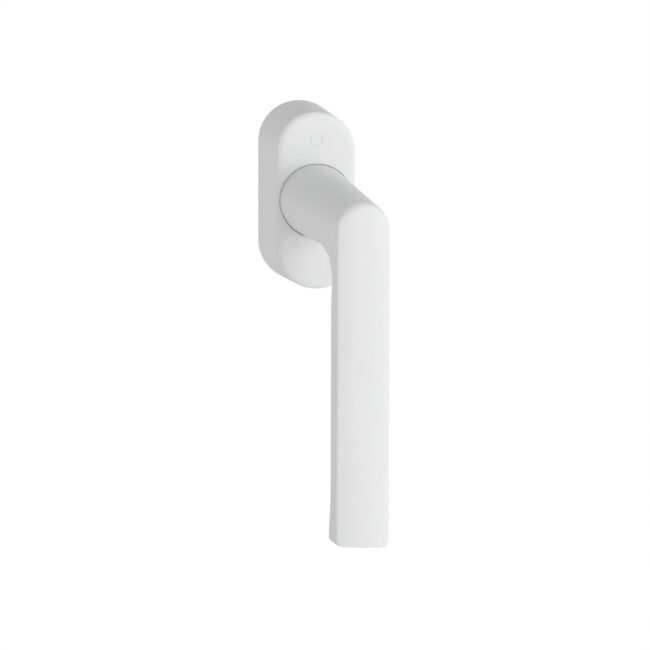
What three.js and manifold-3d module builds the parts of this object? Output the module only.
// Tilt-and-turn window handle on an oval rose, in millimetres.
// Origin: on the spindle axis, in the plane of the sash that the rose is screwed to.
// +X right, +Y into the sash, +Z up. The grip hangs down towards -Z when the window is locked.
import * as THREE from 'three';
import { mergeVertices } from 'three/addons/utils/BufferGeometryUtils.js';
import Module from 'manifold-3d';

const wasm = await Module();
wasm.setup();

// ---- driving dimensions ----
const GAP = 0.3; // running and assembly gap left between neighbouring pieces

const ROSE_DEPTH = 15;
const ROSE_STRAIGHT = 18.5; // half the straight run of the oval
const ROSE_FRONT_R = 14.85; // end radius at the front edge
const ROSE_BACK_R = 15.4; // end radius at the sash, a slight draft
const ROSE_EDGE = 0.9; // front edge radius
const ROSE_SHOULDER = 3.2; // the softer arc between that edge and the flat front
const ROSE_TURN = 55; // degrees where the one arc passes into the other
const ROSE_WALL = 1.3;
const ROSE_BACK_GAP = 0.3; // the rim stops just short of the sash
const EYE_R = 14.05; // opening that the neck passes through

const NECK_R = 13.75; // neck radius at the rose's front
const NECK_SHOULDER = 13; // depth in front of the sash where the neck begins
const NECK_FRONT_R = 9.95; // where the cone of the neck meets the grip's front face
const NECK_FALL = 0.026; // how fast the neck's underside rises towards the front
const GRIP_FRONT = 53.8; // front face, in front of the sash
const GRIP_HALF_WIDTH = 10.15;
const GRIP_THICKNESS = 7.8;
const GRIP_BACK_HALF = 4; // part of the thickness behind the grip's centre line
const GRIP_BACK_POWER = 4; // superellipse power of the rounded back
const GRIP_LENGTH = 120; // spindle axis to the free end
const GRIP_EDGE = 0.8; // front edge radius
const ARCH_EDGE = 2.4; // the same edge where it runs round the top of the bend
const GRIP_CROWN = 1.3; // how far the front face bulges
const CROWN_POWER = 2.4;
const END_CORNER = 2.6; // corner radius of the free end, seen from the front
const GRIP_END_EDGE = 0.6; // edge radius of the free end
const GRIP_LEAN = 0.9; // the free end stands this much nearer to the sash
const BEND_R = 16.5; // hollow bend between the neck's underside and the grip's back
const SIDE_BLEND = 16; // length over which the cone's sides run out into the grip's
const FLARE = 2.1; // extra thickness at the free end
const FLARE_LENGTH = 20;

const JOURNAL_R = 7;
const JOURNAL_END = 6.3;
const GROOVE_R = 6.1;
const GROOVE_BACK = 6.95;
const GROOVE_FRONT = 8.35;
const SPINDLE_WIDTH = 7;
const SPINDLE_REACH = 24; // how far the spindle stands out behind the rose
const SPINDLE_IN = 31.7; // how deep it sits in the neck
const PIN_R = 1.2;
const PIN_AT = 10; // depth of the cross pin
const PIN_HALF = 6.6;

const SCREW_SPACING = 43;
const SCREW_R = 2.5; // M5
const SCREW_LENGTH = 25;
const SCREW_HEAD_R = 4.6;
const SCREW_HEAD_FRONT = 4.4;
const RECESS_DEPTH = 1.8; // cross recess
const RECESS_HALF = 2.3;
const RECESS_WIDTH = 1;
const CAM_R = 5; // support cams that locate in the sash
const CAM_HEIGHT = 3;
const MOAT_WIDTH = 1.7; // lightening groove round the outer half of each cam
const MOAT_DEPTH = 1.5;

const BASE_R = 12.1;
const BASE_STRAIGHT = 18.25;
const BASE_FLANGE = 4.6; // height of the plate at the screws
const BASE_TOP = 9.95; // height of the boss round the neck
const BASE_BOSS_HALF = 16.4;
const BASE_BOSS_CORNER = 4;
const BASE_BORE_R = 8.9; // holds the neck bush
const FRAME_R = 13.6;
const FRAME_WALL = 1.2;
const FRAME_TOP = 7;
const SLIT_FROM = 2.2; // depth where the slits between the tongues start
const SLIT_WIDTH = 0.8;
const SLIT_INNER = 6; // the slits' distances from the middle
const SLIT_OUTER = 14;

const BUSH_R = 8.6;
const BUSH_BACK = 8.55;
const BUSH_COLLAR_R = 11.5;
const BUSH_COLLAR_BACK = 10.25;
const BUSH_FRONT = 10.9;
const WASHER_R = 11.2;
const THRUST_BACK = 11.2;
const THRUST_FRONT = 11.7;
const WAVE_MIDDLE = 12.3;
const WAVE_THICKNESS = 0.3;
const WAVE_HEIGHT = 0.18;
const WAVES = 3;
const WASHER_BORE_R = JOURNAL_R + 0.4;
const RING_R = 8.8;
const RING_GAP = 0.25; // between the ring and the floor of its groove
const RING_BACK = 7.25;
const RING_FRONT = 8.05;
const RING_OPENING = 1.6; // half the opening at the top

const RING_FLOOR = 8.45; // floor of the pocket for the retaining ring
const RING_POCKET_R = 9.4;
const CAGE_R = 9.6;
const CAGE_FRONT = 6.1;
const CAGE_BACK = 2.5;
const CAGE_ARM = 3.9; // half width of the arms that hold the springs
const CAGE_REACH = 15.3;
const CAGE_BORE_R = 7.4;
const HUB_R = 7;
const BALL_R = 1.75;
const BALL_TRAVEL = 1.2;
const BALL_DEPTH = (CAGE_FRONT + CAGE_BACK) / 2;
const BALL_REST = HUB_R + BALL_R + GAP; // ball centre, clear of the hub's lobes
const CHANNEL_END = 14.4;
const SPRING_R = 1.4;
const WIRE_R = 0.2;
const SPRING_TURNS = 3.5;
const PLATE_X = 10.7;
const PLATE_Z = 15.9;
const PLATE_CORNER = 4.7;
const PLATE_BORE_R = 5.6;
const PLATE_BACK = 1.4;
const PLATE_FRONT = 2.2;
const PLATE_SCREW_X = 8.3;
const PLATE_SCREW_Z = 11.6;
const PLATE_SCREW_R = 1.1;
const PLATE_HEAD_R = 1.85;
const PLATE_HEAD_BACK = 0.4;
const PLATE_HEAD_FRONT = 1.1;
const PLATE_SCREW_END = 7.6;

// ---- solids ----
const FAR = 100;

// A closed geometry as a manifold solid, turned right side out where its profile ran the other way.
function solid(geometry) {
  const plain = geometry.clone();
  plain.deleteAttribute('normal');
  plain.deleteAttribute('uv');
  const welded = mergeVertices(plain, 1e-4);
  const points = welded.attributes.position;
  const corners = Uint32Array.from(welded.index.array);
  const [a, b, c] = [new THREE.Vector3(), new THREE.Vector3(), new THREE.Vector3()];
  let volume = 0;
  for (let i = 0; i < corners.length; i += 3) {
    a.fromBufferAttribute(points, corners[i]);
    b.fromBufferAttribute(points, corners[i + 1]);
    c.fromBufferAttribute(points, corners[i + 2]);
    volume += a.dot(b.cross(c));
  }
  if (volume < 0) {
    for (let i = 0; i < corners.length; i += 3) {
      [corners[i], corners[i + 1]] = [corners[i + 1], corners[i]];
    }
  }
  const vertProperties = Float32Array.from(points.array);
  return new wasm.Manifold(new wasm.Mesh({ numProp: 3, vertProperties, triVerts: corners }));
}

function geometryOf(body) {
  const mesh = body.getMesh();
  const geometry = new THREE.BufferGeometry();
  geometry.setAttribute('position', new THREE.BufferAttribute(Float32Array.from(mesh.vertProperties), 3));
  geometry.setIndex(Array.from(mesh.triVerts));
  geometry.computeVertexNormals();
  return geometry;
}

// Depths are counted from the sash towards the room, so a depth is a place on -Y.
function turned(profile, segments = 40, x = 0, z = 0) {
  const points = profile.map(([radius, depth]) => new THREE.Vector2(radius, -depth));
  return solid(new THREE.LatheGeometry(points, segments).translate(x, 0, z));
}

function disc(radius, depthA, depthB, x = 0, z = 0, segments = 40) {
  return turned([[0, depthA], [radius, depthA], [radius, depthB], [0, depthB]], segments, x, z);
}

function ring(inner, outer, depthA, depthB, segments = 40) {
  const profile = [[inner, depthA], [outer, depthA], [outer, depthB], [inner, depthB], [inner, depthA]];
  return turned(profile, segments);
}

function block(halfX, halfZ, depthA, depthB, x = 0, z = 0) {
  const box = new THREE.BoxGeometry(2 * halfX, Math.abs(depthB - depthA), 2 * halfZ);
  return solid(box.translate(x, -(depthA + depthB) / 2, z));
}

// A shape drawn in x and z, carried from one depth to another.
function prism(shape, depthA, depthB, curveSegments = 8) {
  const depth = Math.abs(depthB - depthA);
  const geometry = new THREE.ExtrudeGeometry(shape, { depth, bevelEnabled: false, curveSegments });
  geometry.rotateX(Math.PI / 2).translate(0, -Math.min(depthA, depthB), 0);
  return solid(geometry);
}

function roundedRectangle(halfX, halfZ, radius) {
  const shape = new THREE.Shape();
  shape.absarc(halfX - radius, halfZ - radius, radius, 0, Math.PI / 2);
  shape.absarc(radius - halfX, halfZ - radius, radius, Math.PI / 2, Math.PI);
  shape.absarc(radius - halfX, radius - halfZ, radius, Math.PI, 1.5 * Math.PI);
  shape.absarc(halfX - radius, radius - halfZ, radius, 1.5 * Math.PI, 2 * Math.PI);
  shape.closePath();
  return shape;
}

// An oval body: one profile turned at each end and carried straight between them.
function oval(profile, halfStraight, segments = 48) {
  const outline = new THREE.Shape();
  outline.moveTo(-profile[0][0], -profile[0][1]);
  profile.forEach(([radius, depth]) => outline.lineTo(radius, -depth));
  [...profile].reverse().forEach(([radius, depth]) => outline.lineTo(-radius, -depth));
  const straight = { depth: 2 * halfStraight, bevelEnabled: false };
  const middle = new THREE.ExtrudeGeometry(outline, straight).translate(0, 0, -halfStraight);
  return solid(middle)
    .add(turned(profile, segments, 0, halfStraight))
    .add(turned(profile, segments, 0, -halfStraight));
}

function smooth(value) {
  const t = Math.min(Math.max(value, 0), 1);
  return t * t * (3 - 2 * t);
}

// ---- the grip: neck, bend and bar as one casting ----
function coneRadius(depth) {
  const share = (depth - ROSE_DEPTH) / (GRIP_FRONT - ROSE_DEPTH);
  return NECK_R + (NECK_FRONT_R - NECK_R) * share;
}

// Negative inside the skin of cone, sides and crowned front, with their common edge rounded.
// The sides turn in on an arc at the free end, and the edge softens round the top of the bend.
function outerSkin(x, depth, z) {
  const cone = coneRadius(depth);
  const past = Math.min(Math.max(END_CORNER - GRIP_LENGTH - z, 0), END_CORNER);
  const turnIn = END_CORNER - Math.sqrt(END_CORNER ** 2 - past ** 2);
  const half = GRIP_HALF_WIDTH + (cone - GRIP_HALF_WIDTH) * (1 - smooth(-z / SIDE_BLEND)) - turnIn;
  const edge = GRIP_EDGE + (ARCH_EDGE - GRIP_EDGE) * smooth((z - 2.5) / 5);
  const side = z >= 0 ? Math.hypot(x, z) - cone : Math.abs(x) - half;
  const front = depth - GRIP_FRONT + GRIP_CROWN * Math.abs(x / GRIP_HALF_WIDTH) ** CROWN_POWER;
  const a = side + edge;
  const b = front + edge;
  return Math.hypot(Math.max(a, 0), Math.max(b, 0)) - edge + Math.min(Math.max(a, b), 0);
}

// Sections along the casting. Each has a centre, a direction away from the bend's pivot,
// the distance from the centre to the inner surface, the power of that half, and an inset.
function gripSections() {
  const pivotDepth = GRIP_FRONT - GRIP_THICKNESS - BEND_R;
  const lean = Math.hypot(1, NECK_FALL);
  const underside = (depth) => NECK_R - NECK_FALL * (depth - ROSE_DEPTH);
  const pivotZ = -underside(pivotDepth) - BEND_R * lean;
  const sections = [];
  const neckSteps = 5;
  for (let i = 0; i < neckSteps; i += 1) {
    const depth = NECK_SHOULDER + ((pivotDepth - NECK_SHOULDER) * i) / neckSteps;
    sections.push({ depth, z: 0, tilt: 0, inner: underside(depth), power: 2, inset: 0 });
  }
  const bendSteps = 18;
  const innerAtNeck = -pivotZ - BEND_R;
  for (let i = 0; i <= bendSteps; i += 1) {
    const share = i / bendSteps;
    const tilt = (share * Math.PI) / 2;
    const inner = innerAtNeck + (GRIP_BACK_HALF - innerAtNeck) * smooth(share ** 1.65);
    const power = 2 + (GRIP_BACK_POWER - 2) * smooth(share ** 2.35);
    const reach = BEND_R + inner;
    const depth = pivotDepth + reach * Math.sin(tilt);
    sections.push({ depth, z: pivotZ + reach * Math.cos(tilt), tilt, inner, power, inset: 0 });
  }
  const bar = { depth: pivotDepth + BEND_R + GRIP_BACK_HALF, tilt: Math.PI / 2, power: GRIP_BACK_POWER };
  const flareSteps = 6;
  for (let i = 0; i <= flareSteps; i += 1) {
    const share = i / flareSteps;
    const z = -GRIP_LENGTH + FLARE_LENGTH + share * (END_CORNER - FLARE_LENGTH);
    sections.push({ ...bar, z, inner: GRIP_BACK_HALF + FLARE * smooth(share), inset: 0 });
  }
  for (const share of [0.35, 0.6]) {
    const z = -GRIP_LENGTH + END_CORNER * (1 - share);
    sections.push({ ...bar, z, inner: GRIP_BACK_HALF + FLARE, inset: 0 });
  }
  const edgeSteps = 3;
  for (let i = 0; i <= edgeSteps; i += 1) {
    const angle = (i / edgeSteps) * (Math.PI / 2);
    const z = GRIP_END_EDGE * (1 - Math.sin(angle)) - GRIP_LENGTH;
    const inset = GRIP_END_EDGE * (1 - Math.cos(angle));
    sections.push({ ...bar, z, inner: GRIP_BACK_HALF + FLARE, inset });
  }
  return sections;
}

// A point of a section: out to the skin on its outer half, a superellipse on its inner half.
function sectionPoint(section, angle) {
  const across = Math.cos(angle);
  const away = Math.sin(angle);
  const at = (r) => [
    r * across,
    section.depth + r * away * Math.sin(section.tilt),
    section.z + r * away * Math.cos(section.tilt),
  ];
  const reachSkin = (place) => {
    let [near, far] = [0, 60];
    for (let i = 0; i < 40; i += 1) {
      const middle = (near + far) / 2;
      if (outerSkin(...place(middle)) < 0) near = middle;
      else far = middle;
    }
    return near;
  };
  let radius = 0;
  if (away < -1e-6) {
    const half = reachSkin((r) => [r, section.depth, section.z]);
    const wide = Math.abs(across / half) ** section.power;
    const deep = Math.abs(away / section.inner) ** section.power;
    radius = (wide + deep) ** (-1 / section.power);
  } else {
    radius = reachSkin(at);
  }
  return at(radius - section.inset);
}

const LEAN_FROM = 5; // how far below the axis the lean starts

function castGrip() {
  const sections = gripSections();
  const columns = 40;
  const geometry = new THREE.CylinderGeometry(1, 1, 1, columns, sections.length - 1);
  const points = geometry.attributes.position;
  for (let i = 0; i < points.count; i += 1) {
    const row = Math.round((0.5 - points.getY(i)) * (sections.length - 1));
    const column = Math.round((Math.atan2(points.getZ(i), points.getX(i)) / (2 * Math.PI)) * columns);
    const angle = (2 * Math.PI * ((column + columns) % columns)) / columns;
    const section = sections[row];
    const onRim = Math.hypot(points.getX(i), points.getZ(i)) > 0.5;
    const [x, depth, z] = onRim ? sectionPoint(section, angle) : [0, section.depth, section.z];
    const lean = GRIP_LEAN * Math.max((LEAN_FROM + z) / (LEAN_FROM - GRIP_LENGTH), 0);
    points.setXYZ(i, x, lean - depth, z);
  }
  return solid(geometry);
}

function makeGrip() {
  const overlap = 1;
  const socketHalf = SPINDLE_WIDTH / 2 + GAP;
  const pinHole = new THREE.CylinderGeometry(PIN_R + GAP, PIN_R + GAP, FAR, 16).rotateZ(Math.PI / 2);
  return castGrip()
    .add(disc(JOURNAL_R, JOURNAL_END, NECK_SHOULDER + overlap))
    .subtract(ring(GROOVE_R, JOURNAL_R + overlap, GROOVE_BACK, GROOVE_FRONT))
    .subtract(block(socketHalf, socketHalf, JOURNAL_END - overlap, SPINDLE_IN + GAP))
    .subtract(solid(pinHole.translate(0, -PIN_AT, 0)).intersect(disc(JOURNAL_R + overlap, PIN_AT - 4, PIN_AT + 2)));
}

// ---- the rose ----
function makeRoseCover() {
  const turn = THREE.MathUtils.degToRad(ROSE_TURN);
  const apart = ROSE_SHOULDER - ROSE_EDGE;
  const tight = [ROSE_FRONT_R - ROSE_EDGE, ROSE_DEPTH - ROSE_SHOULDER + apart * Math.sin(turn)];
  const wide = [tight[0] - apart * Math.cos(turn), ROSE_DEPTH - ROSE_SHOULDER];
  const arc = (centre, radius, from, to, steps) => Array.from({ length: steps + 1 }, (_, i) => {
    const angle = from + ((to - from) * i) / steps;
    return [centre[0] + radius * Math.cos(angle), centre[1] + radius * Math.sin(angle)];
  });
  const outside = [
    [0, ROSE_BACK_GAP],
    [ROSE_BACK_R, ROSE_BACK_GAP],
    ...arc(tight, ROSE_EDGE, 0, turn, 3),
    ...arc(wide, ROSE_SHOULDER, turn, Math.PI / 2, 3).slice(1),
    [0, ROSE_DEPTH],
  ];
  const inside = [
    [0, -1],
    [ROSE_BACK_R - ROSE_WALL, -1],
    ...arc(wide, ROSE_SHOULDER - ROSE_WALL, Math.PI / 5, Math.PI / 2, 3),
    [0, ROSE_DEPTH - ROSE_WALL],
  ];
  return oval(outside, ROSE_STRAIGHT)
    .subtract(oval(inside, ROSE_STRAIGHT))
    .subtract(disc(EYE_R, ROSE_DEPTH - 4, ROSE_DEPTH + 1, 0, 0, 64));
}

function makeClipFrame() {
  const wall = (radius, low, high) => [[0, low], [radius, low], [radius, high], [0, high]];
  const straight = BASE_STRAIGHT;
  let body = oval(wall(FRAME_R, GAP, FRAME_TOP), straight);
  body = body.subtract(oval(wall(FRAME_R - FRAME_WALL, GAP - 1, FRAME_TOP + 1), straight));
  // Slits free two spring tongues on each long side.
  for (const z of [-SLIT_OUTER, -SLIT_INNER, SLIT_INNER, SLIT_OUTER]) {
    body = body.subtract(block(FAR, SLIT_WIDTH / 2, SLIT_FROM, FRAME_TOP + 1, 0, z));
  }
  return body;
}

function makeBasePlate() {
  const screwZ = SCREW_SPACING / 2;
  const holeR = SCREW_R + GAP;
  const plateOutline = [[0, 0], [BASE_R, 0], [BASE_R, BASE_FLANGE], [0, BASE_FLANGE]];
  let body = oval(plateOutline, BASE_STRAIGHT)
    .add(prism(roundedRectangle(BASE_R, BASE_BOSS_HALF, BASE_BOSS_CORNER), BASE_FLANGE - 1, BASE_TOP));
  for (const z of [-screwZ, screwZ]) {
    const sunk = SCREW_HEAD_R - SCREW_R;
    const lip = GAP * Math.SQRT2;
    const seat = SCREW_HEAD_FRONT - sunk;
    const mouth = SCREW_R + lip + BASE_FLANGE + 1 - seat;
    const sink = [[0, seat], [SCREW_R + lip, seat], [mouth, BASE_FLANGE + 1], [0, BASE_FLANGE + 1]];
    const moatR = CAM_R + 3 * GAP;
    const moat = ring(moatR, moatR + MOAT_WIDTH, -1, MOAT_DEPTH).translate([0, 0, z]);
    body = body
      .add(disc(CAM_R, -CAM_HEIGHT, 1, 0, z))
      .subtract(disc(holeR, -CAM_HEIGHT - 1, BASE_FLANGE + 1, 0, z, 24))
      .subtract(turned(sink, 32, 0, z))
      .subtract(moat.intersect(block(FAR, 15, -2, 3, 0, Math.sign(z) * (screwZ + 14))));
  }
  const pocket = disc(CAGE_R + GAP, -1, CAGE_FRONT + GAP)
    .add(block(CAGE_ARM + GAP, CAGE_REACH + GAP, -1, CAGE_FRONT + GAP));
  body = body
    .subtract(prism(roundedRectangle(PLATE_X + GAP, PLATE_Z + GAP, PLATE_CORNER + GAP), PLATE_FRONT + GAP, -1))
    .subtract(pocket)
    .subtract(disc(RING_POCKET_R, 1, RING_FLOOR))
    .subtract(disc(BASE_BORE_R, 1, BASE_TOP + 1));
  for (const [x, z] of plateScrewPlaces()) {
    body = body.subtract(disc(PLATE_SCREW_R + GAP, 1, PLATE_SCREW_END + GAP, x, z, 16));
  }
  return body;
}

function plateScrewPlaces() {
  const [x, z] = [PLATE_SCREW_X, PLATE_SCREW_Z];
  return [[-x, z], [x, z], [-x, -z], [x, -z]];
}

function makeFixingScrew(z) {
  const sunk = SCREW_HEAD_R - SCREW_R;
  const tip = SCREW_HEAD_FRONT - SCREW_LENGTH;
  const chamfer = 0.8;
  const profile = [
    [0, tip],
    [SCREW_R - chamfer, tip],
    [SCREW_R, tip + chamfer],
    [SCREW_R, SCREW_HEAD_FRONT - sunk],
    [SCREW_HEAD_R, SCREW_HEAD_FRONT],
    [0, SCREW_HEAD_FRONT],
  ];
  const slot = (halfX, halfZ) => (
    block(halfX, halfZ, SCREW_HEAD_FRONT - RECESS_DEPTH, SCREW_HEAD_FRONT + 1, 0, z)
  );
  return turned(profile, 24, 0, z)
    .subtract(slot(RECESS_WIDTH / 2, RECESS_HALF))
    .subtract(slot(RECESS_HALF, RECESS_WIDTH / 2));
}

// ---- bearing and retention ----
function makeNeckBush() {
  const inner = JOURNAL_R + GAP;
  const profile = [
    [inner, BUSH_BACK],
    [BUSH_R, BUSH_BACK],
    [BUSH_R, BUSH_COLLAR_BACK],
    [BUSH_COLLAR_R, BUSH_COLLAR_BACK],
    [BUSH_COLLAR_R, BUSH_FRONT],
    [inner, BUSH_FRONT],
    [inner, BUSH_BACK],
  ];
  return turned(profile, 40);
}

function makeWaveWasher() {
  const [low, high] = [-WAVE_MIDDLE - WAVE_THICKNESS / 2, -WAVE_MIDDLE + WAVE_THICKNESS / 2];
  const profile = [
    [WASHER_BORE_R, low],
    [WASHER_R, low],
    [WASHER_R, high],
    [WASHER_BORE_R, high],
    [WASHER_BORE_R, low],
  ];
  const points = profile.map(([radius, y]) => new THREE.Vector2(radius, y));
  const geometry = new THREE.LatheGeometry(points, 48);
  const place = geometry.attributes.position;
  for (let i = 0; i < place.count; i += 1) {
    const wave = WAVE_HEIGHT * Math.cos(WAVES * Math.atan2(place.getX(i), place.getZ(i)));
    place.setY(i, place.getY(i) + wave);
  }
  return solid(geometry);
}

function makeRetainingRing() {
  const opening = block(RING_OPENING, 5, RING_BACK - 1, RING_FRONT + 1, 0, GROOVE_R + 5);
  return ring(GROOVE_R + RING_GAP, RING_R, RING_BACK, RING_FRONT).subtract(opening);
}

// ---- detent ----
function makeDetentHub() {
  const inset = 0.1;
  let body = disc(HUB_R, CAGE_BACK + inset, CAGE_FRONT - inset, 0, 0, 48);
  const half = SPINDLE_WIDTH / 2 + GAP;
  body = body.subtract(block(half, half, 0, CAGE_FRONT + 1));
  const seated = BALL_REST - BALL_TRAVEL;
  for (const [x, z] of [[seated, 0], [-seated, 0], [0, seated], [0, -seated]]) {
    body = body.subtract(disc(BALL_R + GAP, 0, CAGE_FRONT + 1, x, z, 32));
  }
  return body;
}

function makeDetentCage() {
  const channel = block(BALL_R + GAP, CHANNEL_END, 0, CAGE_FRONT + 1);
  return disc(CAGE_R, CAGE_BACK, CAGE_FRONT, 0, 0, 48)
    .add(block(CAGE_ARM, CAGE_REACH, CAGE_BACK, CAGE_FRONT))
    .subtract(disc(CAGE_BORE_R, 0, CAGE_FRONT + 1, 0, 0, 48))
    .subtract(channel);
}

function makeBall(side) {
  const sphere = new THREE.SphereGeometry(BALL_R, 20, 12);
  return solid(sphere.translate(0, -BALL_DEPTH, side * BALL_REST));
}

class Helix extends THREE.Curve {
  constructor(radius, length, turns) {
    super();
    Object.assign(this, { radius, length, turns });
  }

  getPoint(t, target = new THREE.Vector3()) {
    const angle = 2 * Math.PI * this.turns * t;
    return target.set(this.radius * Math.cos(angle), this.radius * Math.sin(angle), this.length * t);
  }
}

function makeSpring(side) {
  const start = BALL_REST + BALL_R + GAP + WIRE_R;
  const length = CHANNEL_END - GAP - WIRE_R - start;
  const wire = new THREE.Shape().absarc(0, 0, WIRE_R, 0, 2 * Math.PI);
  const options = { steps: 56, curveSegments: 3, bevelEnabled: false };
  options.extrudePath = new Helix(SPRING_R, length, SPRING_TURNS);
  const geometry = new THREE.ExtrudeGeometry(wire, options);
  if (side < 0) geometry.rotateX(Math.PI);
  return solid(geometry.translate(0, -BALL_DEPTH, side * start));
}

function makePocketPlate() {
  let body = prism(roundedRectangle(PLATE_X, PLATE_Z, PLATE_CORNER), PLATE_BACK, PLATE_FRONT);
  body = body.subtract(disc(PLATE_BORE_R, PLATE_BACK - 1, PLATE_FRONT + 1, 0, 0, 32));
  for (const [x, z] of plateScrewPlaces()) {
    body = body.subtract(disc(PLATE_SCREW_R + GAP, PLATE_BACK - 1, PLATE_FRONT + 1, x, z, 16));
  }
  return body;
}

function makePlateScrew(x, z) {
  const chamfer = 0.25;
  const point = 0.6;
  const profile = [
    [0, PLATE_HEAD_BACK],
    [PLATE_HEAD_R - chamfer, PLATE_HEAD_BACK],
    [PLATE_HEAD_R, PLATE_HEAD_BACK + chamfer],
    [PLATE_HEAD_R, PLATE_HEAD_FRONT],
    [PLATE_SCREW_R, PLATE_HEAD_FRONT],
    [PLATE_SCREW_R, PLATE_SCREW_END - point],
    [PLATE_SCREW_R - point, PLATE_SCREW_END],
    [0, PLATE_SCREW_END],
  ];
  const slot = block(1.3, 0.25, PLATE_HEAD_BACK - 1, PLATE_HEAD_BACK + 0.4, x, z);
  return turned(profile, 16, x, z).subtract(slot);
}

// ---- drive ----
function makeSpindle() {
  const half = SPINDLE_WIDTH / 2;
  const chamfer = 0.6;
  const square = new THREE.Shape();
  const inner = half - chamfer;
  square.moveTo(-inner, -inner);
  square.lineTo(inner, -inner);
  square.lineTo(inner, inner);
  square.lineTo(-inner, inner);
  square.closePath();
  const bar = new THREE.ExtrudeGeometry(square, {
    depth: SPINDLE_IN + SPINDLE_REACH - 2 * chamfer,
    bevelThickness: chamfer,
    bevelSize: chamfer,
    bevelSegments: 1,
  });
  bar.rotateX(Math.PI / 2).translate(0, SPINDLE_REACH - chamfer, 0);
  const hole = new THREE.CylinderGeometry(PIN_R + GAP, PIN_R + GAP, 20, 16).rotateZ(Math.PI / 2);
  return solid(bar).subtract(solid(hole.translate(0, -PIN_AT, 0)));
}

function makeSpindlePin() {
  const chamfer = 0.3;
  const points = [[0, -PIN_HALF], [PIN_R - chamfer, -PIN_HALF], [PIN_R, chamfer - PIN_HALF]];
  const profile = [...points, ...points.map(([r, y]) => [r, -y]).reverse()];
  const lathe = new THREE.LatheGeometry(profile.map(([r, y]) => new THREE.Vector2(r, y)), 16);
  return solid(lathe.rotateZ(Math.PI / 2).translate(0, -PIN_AT, 0));
}

// ---- assembly ----
const finishes = {
  powderWhite: { color: 0xeeeeee, roughness: 0.45, metalness: 0 },
  zinc: { color: 0xa9abad, roughness: 0.45, metalness: 0.9 },
  steel: { color: 0xc4c6c8, roughness: 0.3, metalness: 1 },
  springSteel: { color: 0x8f9296, roughness: 0.3, metalness: 1 },
  blackNylon: { color: 0x26282a, roughness: 0.6, metalness: 0 },
  acetal: { color: 0xf2efe6, roughness: 0.4, metalness: 0 },
};

const handle = new THREE.Group();

function addPiece(name, body, finish) {
  const mesh = new THREE.Mesh(geometryOf(body), new THREE.MeshStandardMaterial(finishes[finish]));
  mesh.name = name;
  handle.add(mesh);
}

addPiece('grip', makeGrip(), 'powderWhite');
addPiece('rose_cover', makeRoseCover(), 'powderWhite');
addPiece('base_plate', makeBasePlate(), 'zinc');
addPiece('clip_frame', makeClipFrame(), 'blackNylon');
addPiece('spindle', makeSpindle(), 'steel');
addPiece('spindle_pin', makeSpindlePin(), 'steel');
addPiece('neck_bush', makeNeckBush(), 'acetal');
addPiece('thrust_washer', ring(WASHER_BORE_R, WASHER_R, THRUST_BACK, THRUST_FRONT), 'steel');
addPiece('wave_washer', makeWaveWasher(), 'springSteel');
addPiece('retaining_ring', makeRetainingRing(), 'springSteel');
addPiece('detent_hub', makeDetentHub(), 'steel');
addPiece('detent_cage', makeDetentCage(), 'acetal');
addPiece('pocket_plate', makePocketPlate(), 'steel');
for (const [end, side] of [['upper', 1], ['lower', -1]]) {
  addPiece(`detent_ball_${end}`, makeBall(side), 'steel');
  addPiece(`detent_spring_${end}`, makeSpring(side), 'springSteel');
  addPiece(`fixing_screw_${end}`, makeFixingScrew((side * SCREW_SPACING) / 2), 'steel');
}
const corners = ['upper_left', 'upper_right', 'lower_left', 'lower_right'];
plateScrewPlaces().forEach(([x, z], i) => addPiece(`plate_screw_${corners[i]}`, makePlateScrew(x, z), 'steel'));

export default handle;
